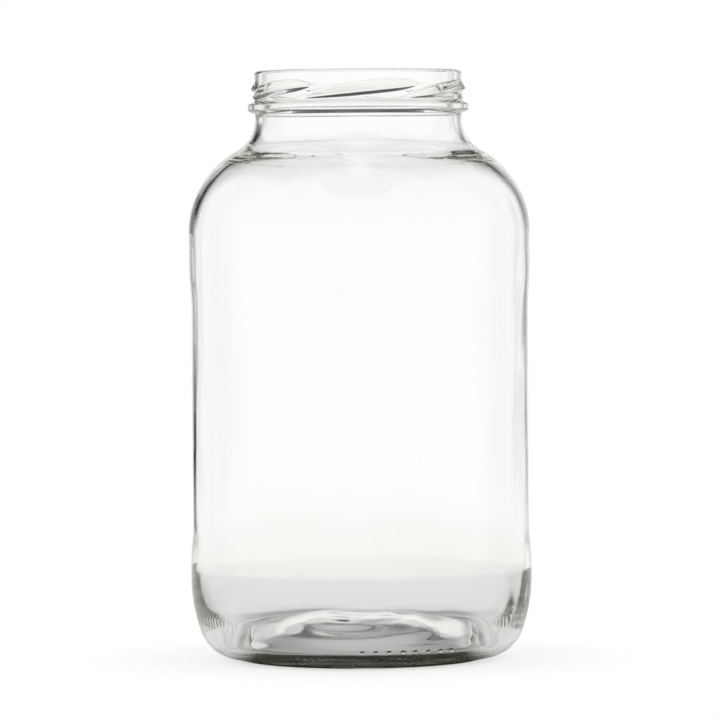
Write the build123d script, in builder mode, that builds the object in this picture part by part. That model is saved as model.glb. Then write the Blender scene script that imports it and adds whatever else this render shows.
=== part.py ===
from build123d import *

import os
from math import acos, asin, atan2, cos, degrees, radians, sin, sqrt

# A wide-mouth storage jar of clear pressed-and-blown glass, empty and without its closure.
# It is one piece of glass. Lengths are in millimetres and angles in degrees.
# The origin is the middle of the ring that the jar stands on, and +Z points up to the mouth.

# Overall
height = 273.5
body_diameter = 158.5
mouth_diameter = 89.4
wall = 2.5
neck_wall = 3.3

# Lip: a narrow flat, which a lid seals on, between two rounds
lip_outer_round = 1.7
lip_flat = 0.5
lip_inner_round = 1.3

# Neck and shoulder: two arcs, the shoulder's bulging and the neck's hollow
shoulder_radius = 42.8
neck_curve = 16.8
neck_drop = 22.3

# Bead under the thread, where a filling line holds the hot jar
bead_reach = 3.15
bead_drop = 17.1
bead_height = 6.3
bead_crest = 3.0
bead_round = 1.1

# Thread: six short ramps that a quarter turn of a metal lid catches
lug_count = 6
lug_reach = 2.2
lug_drop = 10.2
lug_rise = 5.7
lug_height = 3.1
lug_crest = 1.0
lug_root = 1.0
lug_span = 69.0
lug_station_shares = (-1.0, -0.9, -0.68, -0.35, 0.0, 0.35, 0.68, 0.9, 1.0)
lug_end_power = 6
lug_sunk_share = 0.2
lug_flank_share = 0.8

# Label panel, set back between two bands that touch the next jar on a shelf
panel_recess = 1.1
lower_band = 4.2
lower_blend = 24.0
upper_band = 13.0
upper_blend = 26.0

# Heel, outside
underside_slope = 13.7
underside_run = 6.4
heel_corner = 18.5
heel_side = 76.2

# Heel, inside, where the glass gathers
inner_heel_side = 54.6
inner_heel_corner = 12.0
inner_heel_drop = 0.7

# Base: a flat ring to stand on, set in from the side, round a pushed-up middle
ring_inset = 24.55
ring_width = 3.6
ring_roll = 4.0
push_up = 9.0
base_wall = 6.5
centre_wall = 7.0

# Radii of the two skins of the glass
body_radius = body_diameter / 2
mouth_radius = mouth_diameter / 2
neck_radius = mouth_radius + neck_wall
lip_radius = mouth_radius + lip_inner_round + lip_flat + lip_outer_round
bead_radius = lip_radius + bead_reach
ring_outer = body_radius - ring_inset
ring_inner = ring_outer - ring_width
inner_body_radius = body_radius - wall


def bend_turn(step, first_radius, second_radius):
    """How far two equal and opposite arcs turn to move sideways by a step."""
    return degrees(acos(1 - step / (first_radius + second_radius)))


def dome_radius(top, centre_x, centre_z, roll):
    """Radius of a dome that peaks on the axis and runs into a rolled ring."""
    below = centre_z - top
    return (centre_x**2 + below**2 - roll**2) / (2 * (roll - below))


def dome_and_roll(top, centre_x, centre_z, roll, last_angle):
    """Half a dome from the axis outwards, then the roll that it turns into."""
    radius = dome_radius(top, centre_x, centre_z, roll)
    lean = degrees(atan2(centre_x, centre_z - top + radius))
    CenterArc((0, top - radius), radius, 90, -lean)
    CenterArc((centre_x, centre_z), roll, 270 - lean, last_angle - 270 + lean)


def blend(low, high):
    """A soft step in the wall that leaves and arrives upright."""
    middle = (low[1] + high[1]) / 2
    Bezier(low, (low[0], middle), (high[0], middle), high)


def side_wall(band, bottom, top):
    """The upright wall from the heel to the shoulder, with its label panel."""
    panel = band - panel_recess
    Line((band, bottom), (band, panel_bottom))
    blend((band, panel_bottom), (panel, panel_bottom + lower_blend))
    Line((panel, panel_bottom + lower_blend), (panel, panel_top - upper_blend))
    blend((panel, panel_top - upper_blend), (band, panel_top))
    Line((band, panel_top), (band, top))


# Outer heel: the sloping underside, a tight corner and a long side arc, each tangent to the next
roll_x = ring_outer + ring_roll * sin(radians(underside_slope))
roll_z = ring_roll * (1 - cos(radians(underside_slope)))
slope_x = roll_x + underside_run * cos(radians(underside_slope))
slope_z = roll_z + underside_run * sin(radians(underside_slope))
corner_x = slope_x - heel_corner * sin(radians(underside_slope))
corner_z = slope_z + heel_corner * cos(radians(underside_slope))
heel_turn = degrees(asin((corner_x - body_radius + heel_side) / (heel_side - heel_corner)))
heel_top = corner_z + (heel_side - heel_corner) * cos(radians(heel_turn))

# Outer shoulder and neck
neck_top = height - neck_drop
shoulder_turn = bend_turn(body_radius - neck_radius, shoulder_radius, neck_curve)
shoulder_start = neck_top - (shoulder_radius + neck_curve) * sin(radians(shoulder_turn))
panel_bottom = heel_top + lower_band
panel_top = shoulder_start - upper_band

# Inner shoulder and neck, the outer arcs moved in by the wall
inner_shoulder = shoulder_radius - wall
inner_neck_curve = neck_curve + neck_wall
inner_turn = bend_turn(inner_body_radius - mouth_radius, inner_shoulder, inner_neck_curve)
inner_shoulder_start = neck_top - (inner_shoulder + inner_neck_curve) * sin(radians(inner_turn))

# Inner heel: a side arc and a corner that rolls into the floor
inner_heel_top = panel_bottom - inner_heel_drop
inner_corner_z = base_wall + inner_heel_corner
inner_arm = inner_heel_side - inner_heel_corner
inner_reach = sqrt(inner_arm**2 - (inner_heel_top - inner_corner_z) ** 2)
inner_corner_x = inner_body_radius - inner_heel_side + inner_reach
inner_heel_turn = degrees(asin(inner_reach / inner_arm))
floor_centre = push_up + centre_wall

# Lug: its section at one place along the ramp, which fades into the lip at both ends
lug_middle = height - lug_drop
lug_base = lip_radius - lug_root

with BuildPart() as lug:
    for share in lug_station_shares:
        turn = radians(share * lug_span / 2 - 90)
        fade = 1 - (1 + lug_sunk_share) * abs(share) ** lug_end_power
        crest = lip_radius + lug_reach * fade
        flank = lug_base + (crest - lug_base) * lug_flank_share
        level = lug_middle + lug_rise * share / 2
        along_x = (cos(turn), sin(turn), 0)
        square_to = (sin(turn), -cos(turn), 0)
        with BuildSketch(Plane(origin=(0, 0, level), x_dir=along_x, z_dir=square_to)):
            with BuildLine():
                Line((lug_base, lug_height / 2), (lug_base, -lug_height / 2))
                Line((lug_base, -lug_height / 2), (flank, -lug_crest))
                ThreePointArc((flank, -lug_crest), (crest, 0), (flank, lug_crest))
                Line((flank, lug_crest), (lug_base, lug_height / 2))
            make_face()
    loft()

with BuildPart() as glass_jar:
    # The wall's section, from the axis under the base, up the outside and back down the inside
    with BuildSketch(Plane.XZ):
        with BuildLine():
            # Push-up, standing ring and outer heel
            dome_and_roll(push_up, ring_inner, ring_roll, ring_roll, 270)
            Line((ring_inner, 0), (ring_outer, 0))
            CenterArc((ring_outer, ring_roll), ring_roll, 270, underside_slope)
            Line((roll_x, roll_z), (slope_x, slope_z))
            corner_turn = heel_turn - underside_slope
            CenterArc((corner_x, corner_z), heel_corner, 270 + underside_slope, corner_turn)
            CenterArc((body_radius - heel_side, heel_top), heel_side, 270 + heel_turn, 90 - heel_turn)

            # Outer wall, shoulder and neck
            side_wall(body_radius, heel_top, shoulder_start)
            CenterArc((body_radius - shoulder_radius, shoulder_start), shoulder_radius, 0, shoulder_turn)
            CenterArc((neck_radius + neck_curve, neck_top), neck_curve, 180 + shoulder_turn, -shoulder_turn)

            # Lip
            lip_low = height - bead_drop
            lip_top = height - lip_outer_round
            Line((neck_radius, neck_top), (neck_radius, lip_low))
            Line((neck_radius, lip_low), (lip_radius, lip_low))
            Line((lip_radius, lip_low), (lip_radius, lip_top))
            CenterArc((lip_radius - lip_outer_round, lip_top), lip_outer_round, 0, 90)
            mouth_edge = mouth_radius + lip_inner_round
            Line((lip_radius - lip_outer_round, height), (mouth_edge, height))
            CenterArc((mouth_edge, height - lip_inner_round), lip_inner_round, 90, 90)

            # Bore, inner shoulder and inner wall
            Line((mouth_radius, height - lip_inner_round), (mouth_radius, neck_top))
            inner_neck_x = mouth_radius + inner_neck_curve
            CenterArc((inner_neck_x, neck_top), inner_neck_curve, 180, inner_turn)
            inner_shoulder_x = inner_body_radius - inner_shoulder
            CenterArc((inner_shoulder_x, inner_shoulder_start), inner_shoulder, inner_turn, -inner_turn)
            side_wall(inner_body_radius, inner_heel_top, inner_shoulder_start)

            # Inner heel and floor
            inner_side_x = inner_body_radius - inner_heel_side
            side_turn = 90 - inner_heel_turn
            CenterArc((inner_side_x, inner_heel_top), inner_heel_side, 0, -side_turn)
            corner_end = 270 + inner_heel_turn
            dome_and_roll(floor_centre, inner_corner_x, inner_corner_z, inner_heel_corner, corner_end)
            Line((0, floor_centre), (0, push_up))
        make_face()
    revolve(axis=Axis.Z)

    # The bead, which stands out of the neck below the thread
    with BuildSketch(Plane.XZ) as bead:
        bead_root = mouth_radius + neck_wall / 2
        bead_middle = height - bead_drop
        with BuildLine():
            Polyline(
                (bead_root, bead_middle - bead_height / 2),
                (neck_radius, bead_middle - bead_height / 2),
                (bead_radius, bead_middle - bead_crest / 2),
                (bead_radius, bead_middle + bead_crest / 2),
                (lip_radius, bead_middle + bead_height / 2),
                (bead_root, bead_middle + bead_height / 2),
                close=True,
            )
        make_face()
        fillet(bead.vertices().group_by(Axis.X)[-1], bead_round)
    revolve(axis=Axis.Z)

    # The thread
    with PolarLocations(0, lug_count):
        add(lug.part)

glass_jar.part.label = "glass_jar"
os.makedirs("parts", exist_ok=True)
export_step(glass_jar.part, "parts/glass_jar.step")

# What the jar holds to the top of the neck, and what its wall measures at the panel
print("body radius", round(body_radius, 2), "inside", round(inner_body_radius, 2))
print("panel from", round(panel_bottom, 1), "to", round(panel_top, 1))
print("solids", len(glass_jar.part.solids()), "volume", round(glass_jar.part.volume))
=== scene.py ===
# %% [markdown]
# # A wide-mouth storage jar of clear glass
#
# This lesson dresses one glass jar. The jar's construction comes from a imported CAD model, which we
# load as a fixed frame: it says how high and how wide the jar is and where it stands. Our work is
# everything that the eye sees: the rounded lip, the thread, the uneven inner skin that blown glass
# always has, the clear material, and a studio in which clear glass can be seen at all.

from math import acos, asin, atan2, cos, degrees, exp, hypot, pi, radians, sin, sqrt, tan

import bmesh
import bpy
from mathutils import Matrix, Vector, noise


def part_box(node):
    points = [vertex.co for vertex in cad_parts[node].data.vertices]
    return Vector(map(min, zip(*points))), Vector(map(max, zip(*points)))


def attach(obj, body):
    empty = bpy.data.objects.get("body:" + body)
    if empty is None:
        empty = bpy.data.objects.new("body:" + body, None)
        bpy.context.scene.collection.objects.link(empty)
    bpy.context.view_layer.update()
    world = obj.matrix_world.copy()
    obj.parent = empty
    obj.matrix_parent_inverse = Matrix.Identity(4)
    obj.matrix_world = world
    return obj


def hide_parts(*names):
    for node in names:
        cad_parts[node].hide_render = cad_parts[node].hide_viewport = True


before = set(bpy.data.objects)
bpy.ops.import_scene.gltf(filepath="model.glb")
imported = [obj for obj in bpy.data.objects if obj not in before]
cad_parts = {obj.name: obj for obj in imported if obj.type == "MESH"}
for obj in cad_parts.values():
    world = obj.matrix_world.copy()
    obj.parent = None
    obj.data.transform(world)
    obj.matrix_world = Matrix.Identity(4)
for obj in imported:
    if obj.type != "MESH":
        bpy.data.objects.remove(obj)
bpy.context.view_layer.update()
mm = 0.001
jar_low, jar_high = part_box("glass_jar")
height = jar_high.z - jar_low.z
body_radius = (jar_high.x - jar_low.x) / 2
print("jar", round(height / mm, 1), "mm high,", round(2 * body_radius / mm, 1), "mm across")

# %% [markdown]
# ## The camera
#
# The photographer stood back and used a long lens, so the jar's sides look almost parallel. The eye
# is level with the shoulder: there the round bands of the glass look like straight lines, and they
# curve more and more towards the base. A camera that far away sees only a few degrees, so its lens
# is long. The whole picture leans a trifle to the left, which is a roll about the line of sight.

# %% Camera
camera_distance = 2.45
eye_height = 218 * mm
aim_height = 139 * mm
picture_width = 334.8 * mm
lean = 0.42
sensor = 36.0

camera_data = bpy.data.cameras.new("studio_camera")
camera_data.sensor_width = sensor
camera_data.lens = sensor * camera_distance / picture_width
camera = bpy.data.objects.new("studio_camera", camera_data)
bpy.context.scene.collection.objects.link(camera)
bpy.context.scene.camera = camera
sight = Vector((0, camera_distance, aim_height - eye_height))
turn = sight.to_track_quat("-Z", "Y").to_matrix().to_4x4()
roll = Matrix.Rotation(radians(-lean), 4, "Z")
camera.matrix_world = Matrix.Translation((0, -camera_distance, eye_height)) @ turn @ roll
print("lens", round(camera_data.lens), "mm")

# %% [markdown]
# ## Drawing the wall of the glass
#
# A jar like this is a solid of revolution: cut it down the middle, and the cut shows one long closed
# wall, out under the base, up the outside, over the lip and back down the inside to the floor. We
# could stack cylinders or lathe a curve object, but a pen is closer to how a mould maker draws it:
# a single vertex that we pull straight or swing around a centre, leaving edges behind it.

# %% A pen made of one vertex
def draw_line(pen, tip, x, z, rows=1):
    """Pull the tip straight to a new place, in equal rows."""
    step = (Vector((x, 0, z)) - tip.co) / rows
    for _ in range(rows):
        tip = bmesh.ops.extrude_vert_indiv(pen, verts=[tip])["verts"][0]
        bmesh.ops.translate(pen, verts=[tip], vec=step)
    return tip


def draw_arc(pen, tip, x, z, turn, rows):
    """Swing the tip around a centre, anticlockwise as seen from the front."""
    swung = bmesh.ops.spin(
        pen, geom=[tip], cent=(x, 0, z), axis=(0, -1, 0), angle=radians(turn), steps=rows,
        use_duplicate=False,
    )
    return next(v for v in swung["geom_last"] if isinstance(v, bmesh.types.BMVert))


def draw_step(pen, tip, x, z, rows):
    """Move the tip sideways along a soft step that leaves and arrives upright."""
    start = tip.co.copy()
    for row in range(1, rows + 1):
        t = row / rows
        across = 3 * t**2 - 2 * t**3
        along = 1.5 * t - 1.5 * t**2 + t**3
        tip = draw_line(pen, tip, start.x + (x - start.x) * across, start.z + (z - start.z) * along)
    return tip


# %% [markdown]
# The next two cells name the jar's sizes from the lip down to the base. They are the same lengths
# that the CAD model is built from, so that the skin we draw lies where the CAD's wall lies. The
# height and the body's radius were read from the frame above.

# %% Sizes of the lip, neck and shoulder
mouth_radius = 44.7 * mm
neck_wall = 3.3 * mm
wall = 2.5 * mm
lip_outer_round = 1.7 * mm
lip_flat = 0.5 * mm
lip_inner_round = 1.3 * mm
shoulder_radius = 42.8 * mm
neck_curve = 16.8 * mm
neck_drop = 22.3 * mm

neck_top = height - neck_drop
neck_radius = mouth_radius + neck_wall
lip_radius = mouth_radius + lip_inner_round + lip_flat + lip_outer_round
inner_body_radius = body_radius - wall


def bend_turn(step, first_radius, second_radius):
    """How far two equal and opposite arcs turn to move sideways by a step."""
    return degrees(acos(1 - step / (first_radius + second_radius)))


shoulder_turn = bend_turn(body_radius - neck_radius, shoulder_radius, neck_curve)
shoulder_start = neck_top - (shoulder_radius + neck_curve) * sin(radians(shoulder_turn))
inner_shoulder = shoulder_radius - wall
inner_neck_curve = neck_curve + neck_wall
inner_turn = bend_turn(inner_body_radius - mouth_radius, inner_shoulder, inner_neck_curve)
inner_shoulder_start = neck_top - (inner_shoulder + inner_neck_curve) * sin(radians(inner_turn))
print("shoulder starts at", round(shoulder_start / mm, 1), "and turns", round(shoulder_turn, 1))

# %% Sizes of the heel, the base and the label panel
panel_recess = 1.1 * mm
lower_band = 4.2 * mm
lower_blend = 24.0 * mm
upper_band = 13.0 * mm
upper_blend = 26.0 * mm
underside_slope = 13.7
underside_run = 6.4 * mm
heel_corner = 18.5 * mm
heel_side = 76.2 * mm
inner_heel_side = 54.6 * mm
inner_heel_corner = 12.0 * mm
inner_heel_drop = 0.7 * mm
ring_inset = 24.55 * mm
ring_width = 3.6 * mm
ring_roll = 4.0 * mm
push_up = 9.0 * mm
base_wall = 6.5 * mm
centre_wall = 7.0 * mm

ring_outer = body_radius - ring_inset
ring_inner = ring_outer - ring_width
roll_x = ring_outer + ring_roll * sin(radians(underside_slope))
roll_z = ring_roll * (1 - cos(radians(underside_slope)))
slope_x = roll_x + underside_run * cos(radians(underside_slope))
slope_z = roll_z + underside_run * sin(radians(underside_slope))
corner_x = slope_x - heel_corner * sin(radians(underside_slope))
corner_z = slope_z + heel_corner * cos(radians(underside_slope))
heel_turn = degrees(asin((corner_x - body_radius + heel_side) / (heel_side - heel_corner)))
heel_top = corner_z + (heel_side - heel_corner) * cos(radians(heel_turn))
panel_bottom = heel_top + lower_band
panel_top = shoulder_start - upper_band

inner_heel_top = panel_bottom - inner_heel_drop
inner_corner_z = base_wall + inner_heel_corner
inner_arm = inner_heel_side - inner_heel_corner
inner_reach = sqrt(inner_arm**2 - (inner_heel_top - inner_corner_z) ** 2)
inner_corner_x = inner_body_radius - inner_heel_side + inner_reach
inner_heel_turn = degrees(asin(inner_reach / inner_arm))
floor_centre = push_up + centre_wall
print("panel from", round(panel_bottom / mm, 1), "to", round(panel_top / mm, 1))

# %% [markdown]
# ### The outside of the wall
#
# We start on the jar's axis, under the pushed-up base. The base is a shallow dome that rolls into
# the flat ring the jar stands on. Then come the sloping underside of the heel, a tight corner, a
# long side arc, the label panel between its two bands, the shoulder and the hollow neck. Rows of
# vertices are close together where light bends hard, and wide apart on the straight panel.
#
# The pen also carries a number, like the colour of its ink: 0 while it draws the outer skin and 1
# while it draws the inner one. Every vertex that grows out of another takes over its number, so
# later we can tell the two skins apart wherever they are.

# %% Draw the base, heel and body from below
def dome_radius(top, centre_x, centre_z, roll):
    """Radius of a dome that peaks on the axis and runs into a rolled ring."""
    below = centre_z - top
    return (centre_x**2 + below**2 - roll**2) / (2 * (roll - below))


pen = bmesh.new()
ink = pen.verts.layers.float.new("inner_skin")
tip = pen.verts.new((0, 0, push_up))
dome = dome_radius(push_up, ring_inner, ring_roll, ring_roll)
dome_lean = degrees(atan2(ring_inner, ring_roll - push_up + dome))
tip = draw_arc(pen, tip, 0, push_up - dome, -dome_lean, 22)
tip = draw_arc(pen, tip, ring_inner, ring_roll, dome_lean, 5)
tip = draw_line(pen, tip, ring_outer, 0, 2)
tip = draw_arc(pen, tip, ring_outer, ring_roll, underside_slope, 2)
tip = draw_line(pen, tip, slope_x, slope_z, 6)
tip = draw_arc(pen, tip, corner_x, corner_z, heel_turn - underside_slope, 26)
tip = draw_arc(pen, tip, body_radius - heel_side, heel_top, 90 - heel_turn, 16)
tip = draw_line(pen, tip, body_radius, panel_bottom, 2)
panel_radius = body_radius - panel_recess
tip = draw_step(pen, tip, panel_radius, panel_bottom + lower_blend, 14)
tip = draw_line(pen, tip, panel_radius, panel_top - upper_blend, 16)
tip = draw_step(pen, tip, body_radius, panel_top, 14)
tip = draw_line(pen, tip, body_radius, shoulder_start, 3)
tip = draw_arc(pen, tip, body_radius - shoulder_radius, shoulder_start, shoulder_turn, 28)
tip = draw_arc(pen, tip, neck_radius + neck_curve, neck_top, -shoulder_turn, 18)
print("outside so far:", len(pen.verts), "rows")

# %% [markdown]
# ### The bead and the lip
#
# Above the neck comes the finish, the part that a lid closes on. The filling line lifts a hot jar by
# the bead. Its edges are rounded, because glass never fills a sharp corner of the mould. A rounded
# corner is an arc between two straight runs, so the pen needs to know where a run touches the arc. A
# bevel after the spin could round the bead too, but here it takes one arc instead of a ring of faces.
#
# The bead's sizes are the CAD model's, with a small round more at each root. The ramps of the thread
# are shaped finer than the CAD's, so their level and their slopes are our own.

# %% A helper for rounded corners
def draw_corner(pen, tip, corner, beyond, radius, rows):
    """Run towards a corner, round it and stop where the arc meets the next run."""
    here = Vector((tip.co.x, 0, tip.co.z))
    corner = Vector((corner[0], 0, corner[1]))
    onward = Vector((beyond[0], 0, beyond[1])) - corner
    arriving = (corner - here).normalized()
    leaving = onward.normalized()
    bend = arriving.angle(leaving)
    left_turn = arriving.x * leaving.z - arriving.z * leaving.x > 0
    cut = radius * tan(bend / 2)
    touch = corner - arriving * cut
    side = Vector((-arriving.z, 0, arriving.x)) * (1 if left_turn else -1)
    centre = touch + side * radius
    tip = draw_line(pen, tip, touch.x, touch.z)
    return draw_arc(pen, tip, centre.x, centre.z, degrees(bend) * (1 if left_turn else -1), rows)


# %% Sizes of the bead and the thread
bead_reach = 3.15 * mm
bead_drop = 17.1 * mm
bead_height = 6.3 * mm
bead_crest = 3.0 * mm
bead_round = 1.1 * mm
root_round = 0.4 * mm

lug_count = 6
lug_reach = 2.2 * mm
lug_drop = 10.5 * mm
lug_rise = 5.7 * mm
lug_crest = 0.2 * mm
lug_catch = 1.8 * mm
lug_slope = 4.4 * mm
lug_half_span = 34.5
lug_low_power = 1.8
lug_high_power = 5.0

bead_radius = lip_radius + bead_reach
bead_level = height - bead_drop
lug_level = height - lug_drop
print("bead at", round(bead_level / mm, 1), "mm, thread at", round(lug_level / mm, 1), "mm")

# %% Draw the bead
bead_low = (neck_radius, bead_level - bead_height / 2)
crest_low = (bead_radius, bead_level - bead_crest / 2)
crest_high = (bead_radius, bead_level + bead_crest / 2)
bead_high = (lip_radius, bead_level + bead_height / 2)
lip_low = (lip_radius, bead_high[1] + root_round)
tip = draw_corner(pen, tip, bead_low, crest_low, root_round, 4)
tip = draw_corner(pen, tip, crest_low, crest_high, bead_round, 6)
tip = draw_corner(pen, tip, crest_high, bead_high, bead_round, 6)
print("bead is", round(2 * bead_radius / mm, 1), "mm across")

# %% [markdown]
# The lip's wall carries the thread, so its rows are only a quarter of a millimetre apart: the lugs
# are pushed out of it later. Over the top, the lip is two rounds with a narrow flat between them.

# %% Draw the lip and the mouth
thread_row = 0.25 * mm
thread_top = lug_level + lug_rise / 2 + lug_slope
lip_top = height - lip_outer_round
tip = draw_corner(pen, tip, bead_high, lip_low, root_round, 4)
tip = draw_line(pen, tip, lip_radius, thread_top, round((thread_top - tip.co.z) / thread_row))
tip = draw_line(pen, tip, lip_radius, lip_top, 2)
tip = draw_arc(pen, tip, lip_radius - lip_outer_round, lip_top, 90, 8)
tip = draw_line(pen, tip, mouth_radius + lip_inner_round, height)
tip = draw_arc(pen, tip, mouth_radius + lip_inner_round, height - lip_inner_round, 90, 7)
tip = draw_line(pen, tip, mouth_radius, neck_top, 10)
print("outside and lip:", len(pen.verts), "rows")

# %% [markdown]
# ### The inside of the wall
#
# The inside follows the outside a wall's thickness in, down to the heel, where the glass gathers and
# is thicker. The floor is a dome again, over the pushed-up base. A Solidify modifier would give the
# whole jar one thickness, so the pen draws the inside as well.

# %% Draw the inside down to the floor
tip[ink] = 1.0
tip = draw_arc(pen, tip, mouth_radius + inner_neck_curve, neck_top, inner_turn, 22)
tip = draw_arc(pen, tip, inner_body_radius - inner_shoulder, inner_shoulder_start, -inner_turn, 34)
tip = draw_line(pen, tip, inner_body_radius, panel_top, 3)
inner_panel_radius = inner_body_radius - panel_recess
tip = draw_step(pen, tip, inner_panel_radius, panel_top - upper_blend, 14)
tip = draw_line(pen, tip, inner_panel_radius, panel_bottom + lower_blend, 24)
tip = draw_step(pen, tip, inner_body_radius, panel_bottom, 14)
tip = draw_line(pen, tip, inner_body_radius, inner_heel_top)
tip = draw_arc(
    pen, tip, inner_body_radius - inner_heel_side, inner_heel_top, inner_heel_turn - 90, 30
)
floor_dome = dome_radius(floor_centre, inner_corner_x, inner_corner_z, inner_heel_corner)
floor_lean = degrees(atan2(inner_corner_x, inner_corner_z - floor_centre + floor_dome))
tip = draw_arc(pen, tip, inner_corner_x, inner_corner_z, -inner_heel_turn - floor_lean, 14)
tip = draw_arc(pen, tip, 0, floor_centre - floor_dome, floor_lean, 24)
print("whole section:", len(pen.verts), "rows, ends at", round(tip.co.x / mm, 3), round(tip.co.z / mm, 2))

# %% [markdown]
# ### Spinning the section
#
# One full spin turns the section into the jar. The spin merges its last copy with its first, and the
# two ends of the section meet on the axis, where each leaves one vertex per step in the same place.
# Those doubles are merged before the normals are worked out, so that they all point out of the glass.
# A Screw modifier could spin the section too, but the steps after this one need the real vertices.

# %% Spin
spin_steps = 192
bmesh.ops.spin(
    pen, geom=pen.verts[:] + pen.edges[:], cent=(0, 0, 0), axis=(0, 0, 1), angle=2 * pi,
    steps=spin_steps, use_merge=True, use_duplicate=False,
)
bmesh.ops.remove_doubles(pen, verts=pen.verts[:], dist=0.001 * mm)
bmesh.ops.recalc_face_normals(pen, faces=pen.faces[:])
print("spun:", len(pen.faces), "faces, closed:", all(e.is_manifold for e in pen.edges))

# %% [markdown]
# ## The thread
#
# A lug lid doesn't screw down a long helix. It has inward lugs that slip under short sloping ramps,
# and a sixth of a turn pulls it tight. Each ramp is like a roof with hipped ends: one steep side
# below, which the lid catches on, one gentle side above, and a ridge that climbs to the right. The
# ridge sinks slowly into the lip at its low end and quickly at its high end, and since both sides
# keep their slope all along, the steep one narrows to a knife's point. We push the lip's rows out by
# that roof. It keeps one skin of glass, where a separate ramp would leave a wall inside the glass.

# %% Raise the ramps
def ease(value, start, end):
    """A smooth climb from 0 at the start to 1 at the end."""
    share = min(1, max(0, (value - start) / (end - start)))
    return share**2 * (3 - 2 * share)


def ramp_height(angle, z):
    """How far the ramps stand out of the lip at an angle round the jar, in degrees, and a height."""
    pitch = 360 / lug_count
    highest = 0.0
    nearest = round((angle + 90) / pitch)
    for lug in (nearest - 1, nearest, nearest + 1):
        share = (angle + 90 - lug * pitch) / lug_half_span
        if abs(share) < 1:
            fade = 1 - abs(share) ** (lug_low_power if share < 0 else lug_high_power)
            off = z - lug_level - lug_rise * share / 2
            run = lug_slope if off > 0 else lug_catch
            highest = max(highest, lug_reach * (fade - max(0, abs(off) - lug_crest) / run))
    return highest


raised = 0
for vert in pen.verts:
    radius = hypot(vert.co.x, vert.co.y)
    if vert.co.z > bead_level and radius > lip_radius - 0.1 * mm:
        angle = degrees(atan2(vert.co.y, vert.co.x))
        reach = lip_radius + ramp_height(angle, vert.co.z)
        if reach > radius:
            vert.co.x *= reach / radius
            vert.co.y *= reach / radius
            raised += 1
print("thread:", raised, "vertices raised")

# %% [markdown]
# ## The uneven inner skin
#
# The mould shapes only the outside of a jar. Inside there is nothing but blown air, so the inner
# skin keeps slow waves, mostly drawn out upwards. They bend the light differently from place to
# place, and that is why the edges of real glass show dark lines that waver and fade. Four things
# move our inner skin: the waves themselves, a broken and wrinkled crease where the glass folded under
# the neck, the place where it sagged into the heel and suddenly grew thicker, and rings on the floor,
# where it slid outwards over the base and set.
#
# Smooth noise is right for this, because its waves have a size but no pattern. Each use of it has its
# own offset or scale, so that no two of them rise and fall together. The mouth's bore stays true,
# because a plunger formed it, and from there down the waves start gently. A Displace modifier with a
# cloud texture could make the waves, but it has no place for the crease and the sag. So a function
# works out how far the skin swells at a place, and each vertex moves that far along its normal.

# %% Sizes of the waves, crease, sag and rings
wave_height = 0.5 * mm
wave_across = 30 * mm
wave_up = 75 * mm
ripple_height = 0.12 * mm
ripple_across = 9 * mm
ripple_up = 26 * mm
calm_start = 175 * mm
calm_end = 205 * mm

crease_level = 233.6 * mm
crease_width = 2.4 * mm
crease_height = 0.42 * mm
crease_wander = 1.2 * mm
wander_across = 22 * mm
wander_up = 40 * mm
patch_across = 20 * mm
patch_up = 90 * mm
wrinkle_height = 0.1 * mm
wrinkle_size = 3 * mm

sag_height = 0.6 * mm
sag_run = 6.0 * mm
sag_low = 8 * mm
sag_high = 20 * mm
floor_edge_low = base_wall + 8 * mm
floor_edge_high = base_wall + 20 * mm
bore_fade = 22 * mm
ring_height = 0.35 * mm
ring_pitch = 9 * mm
ring_wander = 0.8
smooth_middle = 12 * mm
print("crease at", round(crease_level / mm, 1), "mm, rings every", round(ring_pitch / mm, 1), "mm")


# %% Waves, crease, sag and rings
def wave(place, across, up, offset):
    """Smooth noise whose waves are so wide and so tall."""
    return noise.noise(Vector((place.x / across + offset, place.y / across, place.z / up)))


def inner_swell(place):
    """How much thicker than its section the glass is at a place on the inner skin."""
    radius = max(0.1 * mm, hypot(place.x, place.y))
    slow = wave_height * wave(place, wave_across, wave_up, 0.3)
    quick = ripple_height * wave(place, ripple_across, ripple_up, 5.7)
    calm = 1 - 0.8 * ease(place.z, calm_start, calm_end)
    level = crease_level + crease_wander * wave(place, wander_across, wander_up, 2.1)
    fold = crease_height * exp(-(((place.z - level) / crease_width) ** 2))
    fold *= 0.8 + 0.4 * wave(place, patch_across, patch_up, 8.4)
    fold *= 0.5 + 2.7 * (place.x / radius) ** 2
    wrinkle = wrinkle_height * exp(-(((place.z - level) / crease_width * 2) ** 2))
    fold += wrinkle * wave(place, wrinkle_size, wrinkle_size, 4.6)
    depth = max(0, inner_heel_top - place.z)
    sag = sag_height * (1 - exp(-depth / sag_run)) * ease(place.z, sag_low, sag_high)
    on_floor = 1 - ease(place.z, floor_edge_low, floor_edge_high)
    side = Vector((place.x, place.y, 0)).normalized() * ring_wander
    rings = ring_height * on_floor * noise.noise(Vector((side.x, side.y, radius / ring_pitch)))
    waves = (slow + quick) * calm * (1 - on_floor) * ease(place.z, neck_top, neck_top - bore_fade)
    return waves + fold + sag + rings * ease(radius, 0, smooth_middle)


pen.normal_update()
inner_verts = [v for v in pen.verts if v[ink] > 0.5]
swells = [inner_swell(v.co) for v in inner_verts]
for vert, swell in zip(inner_verts, swells):
    vert.co += vert.normal * swell
swell_range = (round(min(swells) / mm, 2), round(max(swells) / mm, 2))
print("inner skin:", len(inner_verts), "vertices, from and to", swell_range)

# %% [markdown]
# ## Marks on the heel
#
# Two small things on the outside of the heel come from the mould. A row of dots tells moulds apart,
# and a knurled band just above the standing ring keeps fine scratches, which would weaken the glass,
# off the smooth skin. Both are finer than the jar's mesh, so first we cut the mesh finer, only there.
# The new vertices lie on flat facets, so each is pulled back out to the true round of the heel before
# anything is raised on it. Otherwise the facets would glitter. Bump in the shader could draw both
# marks without any cutting, but then the mesh would lack them.

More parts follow.
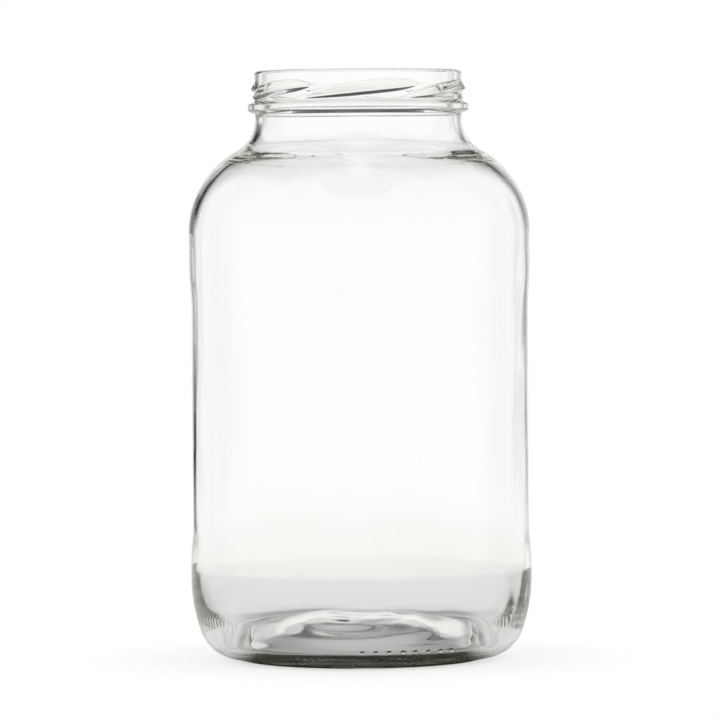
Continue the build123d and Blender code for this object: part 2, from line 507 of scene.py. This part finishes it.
# %% Cut the heel finer
def heel_radius(z):
    """The outer radius at a height on the sloping underside or the heel's corner."""
    if z < slope_z:
        return roll_x + (z - roll_z) / tan(radians(underside_slope))
    return corner_x + sqrt(heel_corner**2 - (corner_z - z) ** 2)


def refine(edges, cuts, grid_fill):
    """Cut some edges of the heel finer and pull the new vertices out to its true round."""
    cut = bmesh.ops.subdivide_edges(pen, edges=edges, cuts=cuts, use_grid_fill=grid_fill)
    fresh = [item for item in cut["geom_inner"] if isinstance(item, bmesh.types.BMVert)]
    for vert in fresh:
        stretch = heel_radius(vert.co.z) / hypot(vert.co.x, vert.co.y)
        vert.co.x *= stretch
        vert.co.y *= stretch
    return fresh


def on_heel(vert, low, high):
    """Whether a vertex is on the outer skin between two heights."""
    return vert[ink] < 0.5 and low < vert.co.z < high and hypot(vert.co.x, vert.co.y) > ring_outer


knurl_low = slope_z + 0.2 * mm
knurl_high = 6.0 * mm
band = [
    e for e in pen.edges
    if all(on_heel(v, knurl_low, knurl_high) for v in e.verts)
    and abs(e.verts[0].co.z - e.verts[1].co.z) < 0.01 * mm
]
refine(band, 3, False)
print("knurled band:", len(band), "edges cut")

# %% Knurl
knurl_count = 128
knurl_rows = 3
knurl_depth = 0.22 * mm


def knurl_height(angle, share):
    """Short ribs in staggered rows, at an angle in degrees and a share of the way up the band."""
    row = int(share * knurl_rows)
    along = share * knurl_rows - row
    across = cos(radians(angle) * knurl_count + pi * row)
    return knurl_depth * max(0, across) * sin(pi * along)


pen.normal_update()
ribbed = [v for v in pen.verts if on_heel(v, knurl_low, knurl_high)]
for vert in ribbed:
    angle = degrees(atan2(vert.co.y, vert.co.x))
    share = (vert.co.z - knurl_low) / (knurl_high - knurl_low)
    vert.co += vert.normal * knurl_height(angle, share)
print("knurl:", len(ribbed), "vertices")

# %% Dots
dot_count = 8
dot_level = 8.8 * mm
dot_radius = 1.15 * mm
dot_height = 0.4 * mm
dot_start = -90.0
dot_pitch = 4.9
dot_patch_reach = 2.7 * mm

dot_places = []
for number in range(dot_count):
    angle = radians(dot_start + number * dot_pitch)
    reach = heel_radius(dot_level)
    dot_places.append(Vector((reach * cos(angle), reach * sin(angle), dot_level)))


def near_a_dot(vert, margin):
    """The distance to the nearest dot, if the vertex is on the outer skin and close, or None."""
    if vert[ink] > 0.5 or abs(vert.co.z - dot_level) > margin:
        return None
    distance = min((vert.co - place).length for place in dot_places)
    return distance if distance < margin else None


patch = [e for e in pen.edges if all(near_a_dot(v, dot_patch_reach) is not None for v in e.verts)]
refine(patch, 4, True)
pen.normal_update()
dotted = 0
for vert in pen.verts:
    distance = near_a_dot(vert, dot_radius)
    if distance is not None:
        vert.co += vert.normal * dot_height * (1 - (distance / dot_radius) ** 2) ** 2
        dotted += 1
print("dots:", dotted, "vertices in", dot_count, "dots")

# %% Make the mesh
for face in pen.faces:
    face.smooth = True
triangles = sum(len(f.verts) - 2 for f in pen.faces)
mesh = bpy.data.meshes.new("clear_glass_jar")
pen.to_mesh(mesh)
pen.free()
glass = bpy.data.objects.new("clear_glass_jar", mesh)
bpy.context.scene.collection.objects.link(glass)
print("jar:", triangles, "triangles")

# %% [markdown]
# ## Wiring shaders
#
# The glass, the floor and the studio's light are all small node trees, and a few helpers keep them
# short. The glass needs two: one sets a socket or links it, and the other adds a ramp of greys. The
# helpers for a sum, a mix and a fade come where they are first needed.

# %% Helpers for a socket and a ramp
def plug(tree, socket, value):
    """Link a socket to another node's output, or set it to a plain value."""
    if isinstance(value, bpy.types.NodeSocket):
        tree.links.new(value, socket)
    else:
        socket.default_value = value


def grey_ramp(tree, factor, stops):
    """A ramp through greys, given as pairs of a place from 0 to 1 and a brightness."""
    node = tree.nodes.new("ShaderNodeValToRGB")
    plug(tree, node.inputs["Fac"], factor)
    elements = node.color_ramp.elements
    while len(elements) < len(stops):
        elements.new(0.5)
    for element, (place, grey) in zip(elements, stops):
        element.position = place
        element.color = (grey, grey, grey, 1)
    return node.outputs["Color"]


# %% [markdown]
# ## Clear glass
#
# Glass has hardly any colour of its own. What we see is light bent by its two skins, a little
# reflection, and a green tint where the light has travelled a long way inside the glass, as at the
# base. So the shader is a Principled with full transmission, and the tint is a volume, because a
# tinted skin would colour thin and thick glass alike. A ramp on Layer Weight also darkens the last ten
# degrees, where the eye grazes the skin: a painted shade that draws a thin dark line along every
# edge.

# %% Glass
material = bpy.data.materials.new("clear_glass")
material.use_nodes = True
tree = material.node_tree
shader = tree.nodes["Principled BSDF"]
shader.inputs["Roughness"].default_value = 0.0
shader.inputs["IOR"].default_value = 1.52
shader.inputs["Transmission Weight"].default_value = 1.0

facing = tree.nodes.new("ShaderNodeLayerWeight")
facing.inputs["Blend"].default_value = 0.5
# painted shade: the glass's colour darkens where it is seen edge-on, drawing dark edges
painted_edge_shade = grey_ramp(tree, facing.outputs["Facing"], [(0.80, 1.0), (0.97, 0.06)])
plug(tree, shader.inputs["Base Color"], painted_edge_shade)

absorb = tree.nodes.new("ShaderNodeVolumeAbsorption")
absorb.inputs["Color"].default_value = (0.70, 0.74, 0.62, 1)
absorb.inputs["Density"].default_value = 10.0
plug(tree, tree.nodes["Material Output"].inputs["Volume"], absorb.outputs["Volume"])
mesh.materials.append(material)

# %% Put the jar into the frame
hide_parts("glass_jar")
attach(glass, "root")
print("the jar stands for glass_jar and rides on root")

# %% [markdown]
# ## A studio for glass
#
# You can't light clear glass, only what it shows. In an evenly white room it would vanish. So glass
# is photographed in front of a white panel that is only a little wider than the glass, with black
# cards beside it. Looking straight through the jar, we see the white panel. Near its edges the wall
# bends our sight aside to the black cards, and that draws the dark lines along the edges.
#
# Real cards would also shade the paper on the floor, so ours are painted by direction: a ramp on the
# angle between a direction and the line from the jar to the white panel, in degrees to the right. A
# narrow black strip stands on the left and a grey one on the right, because the jar's left edge has
# the crisper line.

# %% Cards beside the white panel
card_stops = [
    (-180, 1.0), (-90, 1.0), (-68, 0.7), (-45, 0.95), (-29, 0.75), (-25, 0.04), (-19, 0.04),
    (-15, 0.92), (-6, 1.0), (12, 1.0), (17, 0.9), (20, 0.35), (26, 0.35), (31, 0.85), (45, 0.95),
    (68, 0.7), (90, 1.0),
]


def reckon(tree, operation, first, second=0.0, clamp=False):
    """A node that works out one sum, and its result."""
    node = tree.nodes.new("ShaderNodeMath")
    node.operation = operation
    node.use_clamp = clamp
    plug(tree, node.inputs[0], first)
    plug(tree, node.inputs[1], second)
    return node.outputs["Value"]


def card_shade(tree, x, y):
    """How bright the studio is in a direction round the jar, where +Y is the white panel."""
    whole_turn = reckon(tree, "DIVIDE", reckon(tree, "ARCTAN2", x, y), 2 * pi)
    stops = [(0.5 + angle / 360, grey) for angle, grey in card_stops]
    return grey_ramp(tree, reckon(tree, "ADD", whole_turn, 0.5), stops)


# %% [markdown]
# ## The floor
#
# The jar stands on a round table top covered with white paper. Far from the jar the paper glows
# white by itself, so that it melts into the background. Close to the jar it is only lit, so it keeps
# the jar's soft shadow. Seen through glass the lit part reaches further out and has a painted grey
# shade, and the glow beyond it starts a little cream: the heel looks down on the paper behind it, and
# with no tone at all in there its curves would vanish. Far out, what the glass shows of the paper
# fades into the white panel and its cards, so that the table has no rim there.
#
# Under the jar it is darker. The heel overhangs the paper like an eave, so a ring there is painted in
# half shade. Light that the foot's glass mirrors down to the paper finds only the gap under the base,
# where the real foot is almost black. With white paper on all sides the foot would fill with light,
# so we paint that shade, but only for what the glass shows: the paper that the camera sees directly
# stays white. Out under the heel's sides the paper is left bright, and so the sides are too.

# %% Floor
table_radius = 2.0

floor_pen = bmesh.new()
bmesh.ops.create_circle(floor_pen, cap_ends=True, segments=96, radius=table_radius)
floor_mesh = bpy.data.meshes.new("studio_floor")
floor_pen.to_mesh(floor_mesh)
floor_pen.free()
floor = bpy.data.objects.new("studio_floor", floor_mesh)
bpy.context.scene.collection.objects.link(floor)
print("floor", 2 * table_radius, "m across")

# %% What the floor's paper goes by
def shown_by_glass(tree, ray):
    """1 for what the glass lets through or mirrors, otherwise 0."""
    let_through = ray.outputs["Is Transmission Ray"]
    return reckon(tree, "ADD", let_through, ray.outputs["Is Glossy Ray"], True)


paint = bpy.data.materials.new("pale_floor")
paint.use_nodes = True
tree = paint.node_tree
paper = tree.nodes["Principled BSDF"]
paper.inputs["Roughness"].default_value = 0.9
paper.inputs["Specular IOR Level"].default_value = 0.0
place = tree.nodes.new("ShaderNodeTexCoord")
length = tree.nodes.new("ShaderNodeVectorMath")
length.operation = "LENGTH"
plug(tree, length.inputs[0], place.outputs["Object"])
away = length.outputs["Value"]
spot = tree.nodes.new("ShaderNodeSeparateXYZ")
plug(tree, spot.inputs["Vector"], place.outputs["Object"])
ray = tree.nodes.new("ShaderNodeLightPath")
by_glass = shown_by_glass(tree, ray)
print("the paper goes by its distance from the jar and by whether glass shows it")

# %% Shade under the jar
paper_white = (0.96, 0.96, 0.96, 1)
# painted shade: the paper near the jar is greyer where glass shows it, and contact_shadow is the
# near-black painted under the foot
paper_shaded_through_glass = (0.76, 0.75, 0.76, 1)
contact_shadow = (0.026, 0.029, 0.018, 1)
shade_reach = 100 * mm


def blend_between(tree, factor, start, end):
    """A mix of two colours, each plain or from another node."""
    node = tree.nodes.new("ShaderNodeMix")
    node.data_type = "RGBA"
    plug(tree, node.inputs["Factor"], factor)
    plug(tree, node.inputs["A"], start)
    plug(tree, node.inputs["B"], end)
    return node.outputs["Result"]


away_share = reckon(tree, "DIVIDE", away, shade_reach)
aside_share = reckon(tree, "DIVIDE", reckon(tree, "ABSOLUTE", spot.outputs["X"]), shade_reach)
# painted shade: rings of paper under the heel and foot are darkened where glass shows them
under_heel = grey_ramp(
    tree, away_share,
    [(0.24, 0.0), (0.32, 0.2), (0.62, 0.2), (0.66, 0.5), (0.80, 0.5), (0.88, 0.0)],
)
under_foot = grey_ramp(tree, away_share, [(0.66, 1.0), (0.80, 0.0)])
mirrored = reckon(tree, "MINIMUM", ray.outputs["Glossy Depth"], 1.0)
shades = reckon(tree, "MAXIMUM", under_heel, reckon(tree, "MULTIPLY", under_foot, mirrored))
between_sides = grey_ramp(tree, aside_share, [(0.50, 1.0), (0.62, 0.0)])
in_shadow = reckon(tree, "MULTIPLY", shades, between_sides)
through_glass = blend_between(tree, in_shadow, paper_shaded_through_glass, contact_shadow)
plug(tree, paper.inputs["Base Color"], blend_between(tree, by_glass, paper_white, through_glass))
print("shade under the jar reaches", round(0.88 * shade_reach / mm), "mm out")

# %% Glow of the far paper
white = (1, 1, 1, 1)
cream = (0.95, 0.925, 0.89, 1)
cream_reach = (0.4, 1.6)
cards_start = 0.6
glow_from = (80 * mm, 140 * mm)
glow_from_in_glass = (120 * mm, 500 * mm)


def fade_in(tree, distance, start, end):
    """From 0 within a distance to 1 beyond a further one."""
    node = tree.nodes.new("ShaderNodeMapRange")
    node.interpolation_type = "SMOOTHSTEP"
    plug(tree, node.inputs["Value"], distance)
    node.inputs["From Min"].default_value = start
    node.inputs["From Max"].default_value = end
    return node.outputs["Result"]


past_shadow = fade_in(tree, away, *glow_from)
past_shadow_in_glass = fade_in(tree, away, *glow_from_in_glass)
glow_share = blend_between(tree, by_glass, past_shadow, past_shadow_in_glass)

by_cards = reckon(tree, "MULTIPLY", by_glass, fade_in(tree, away, cards_start, table_radius))
shade = card_shade(tree, spot.outputs["X"], spot.outputs["Y"])
cream_to_white = blend_between(tree, fade_in(tree, away, *cream_reach), cream, white)
warm = blend_between(tree, by_glass, white, cream_to_white)
glow = tree.nodes.new("ShaderNodeEmission")
glow.inputs["Strength"].default_value = 1.0
plug(tree, glow.inputs["Color"], blend_between(tree, by_cards, warm, shade))
mix = tree.nodes.new("ShaderNodeMixShader")
plug(tree, mix.inputs["Fac"], glow_share)
plug(tree, mix.inputs[1], paper.outputs["BSDF"])
plug(tree, mix.inputs[2], glow.outputs["Emission"])
plug(tree, tree.nodes["Material Output"].inputs["Surface"], mix.outputs["Shader"])
floor_mesh.materials.append(paint)
print("the paper glows fully from", glow_from[1], "m on, in glass from", glow_from_in_glass[1], "m on")

# %% [markdown]
# ## The room
#
# Glass draws with whatever is dark around it, so each dark thing in the room has its line to draw:
#
# - the dim ceiling above the white panel draws the lines under the bead and the thread, and white
#   at its sides and a soft box straight overhead end it,
# - the panel's two upper corners are shaded, which darkens the bend between neck and shoulder,
# - a flag on the left sharpens the jar's left edge,
# - behind the camera everything is white, so that nothing dark shines on the body's front,
# - light that was mirrored often inside the glass is painted a dim green where it leaves upwards, a
#   painted shade that darkens the foot, and plain white where it leaves level.
#
# Only light that came through the glass or off it looks up this room. Everything else, the
# background and the light on the floor, gets plain white: then the glass doesn't darken the paper
# that it stands on more than clear glass does.

# %% Room and directions
world = bpy.data.worlds.new("studio")
bpy.context.scene.world = world
world.use_nodes = True
tree = world.node_tree

direction = tree.nodes.new("ShaderNodeTexCoord")
axes = tree.nodes.new("ShaderNodeSeparateXYZ")
plug(tree, axes.inputs["Vector"], direction.outputs["Generated"])
aside = reckon(tree, "ABSOLUTE", axes.outputs["X"])
leftwards = reckon(tree, "MULTIPLY", axes.outputs["X"], -1.0)
towards_camera = reckon(tree, "MULTIPLY", axes.outputs["Y"], -1.0)
print("room: every direction has a place aside, to the left, towards the camera and up")

# %% Corners, flag and ceiling
cards = card_shade(tree, axes.outputs["X"], axes.outputs["Y"])
top_corner = grey_ramp(tree, aside, [(0.05, 1.0), (0.13, 0.1), (0.36, 0.1), (0.5, 1.0)])
up_there = grey_ramp(tree, axes.outputs["Z"], [(0.28, 0.0), (0.35, 1.0)])
corners = blend_between(tree, up_there, white, top_corner)
left_flag = grey_ramp(tree, leftwards, [(0.31, 1.0), (0.36, 0.1), (0.56, 0.1), (0.64, 1.0)])
off_table = grey_ramp(tree, axes.outputs["Z"], [(0.06, 0.0), (0.10, 1.0)])
flags = blend_between(tree, off_table, white, left_flag)
overhead = grey_ramp(
    tree, axes.outputs["Z"], [(0.34, 1.0), (0.43, 0.4), (0.5, 0.07), (0.86, 0.07), (0.95, 1.0)]
)
beyond = grey_ramp(tree, aside, [(0.45, 0.0), (0.62, 1.0)])
ceiling = blend_between(tree, beyond, overhead, white)
before_camera = cards
for darker in (corners, flags, ceiling):
    before_camera = reckon(tree, "MULTIPLY", before_camera, darker)
behind_camera = grey_ramp(tree, towards_camera, [(0.0, 0.0), (0.15, 1.0)])
around = reckon(tree, "MAXIMUM", before_camera, behind_camera)
print("room: white panel at +Y, with cards, shaded corners, a flag and a dim ceiling round it")

# %% What only the glass shows
ray = tree.nodes.new("ShaderNodeLightPath")
above_table = grey_ramp(tree, axes.outputs["Z"], [(0.08, 0.0), (0.18, 1.0)])
# painted shade: light mirrored three or more times that leaves upwards takes the near-black
# contact_shadow colour
painted_guided_shade = blend_between(tree, above_table, white, contact_shadow)
mirrored_often = reckon(tree, "SUBTRACT", ray.outputs["Glossy Depth"], 2.0, True)
picture = blend_between(tree, mirrored_often, around, painted_guided_shade)
straight = reckon(tree, "SUBTRACT", 1.0, ray.outputs["Diffuse Depth"], True)
shown = reckon(tree, "MULTIPLY", shown_by_glass(tree, ray), straight)
tone = blend_between(tree, shown, white, picture)
plug(tree, tree.nodes["Background"].inputs["Color"], tone)
print("room: plain white for all that the glass doesn't show")

# %% [markdown]
# ## How the picture is made
#
# Light goes in and out of the glass many times at the heel, and inside the wall it is mirrored to
# and fro like in a glass fibre. The usual limit of four mirrorings would end it there and leave
# black blots, so a path may bend or be mirrored up to 64 times. Blurring glossy light would smear
# what the glass shows, so it is off. The Standard view shows white paper as white.

# %% Bounces and view
scene = bpy.context.scene
scene.view_settings.view_transform = "Standard"
scene.cycles.max_bounces = 64
scene.cycles.transmission_bounces = 64
scene.cycles.glossy_bounces = 64
scene.cycles.blur_glossy = 0.0
print("light may be bent or mirrored", scene.cycles.max_bounces, "times")
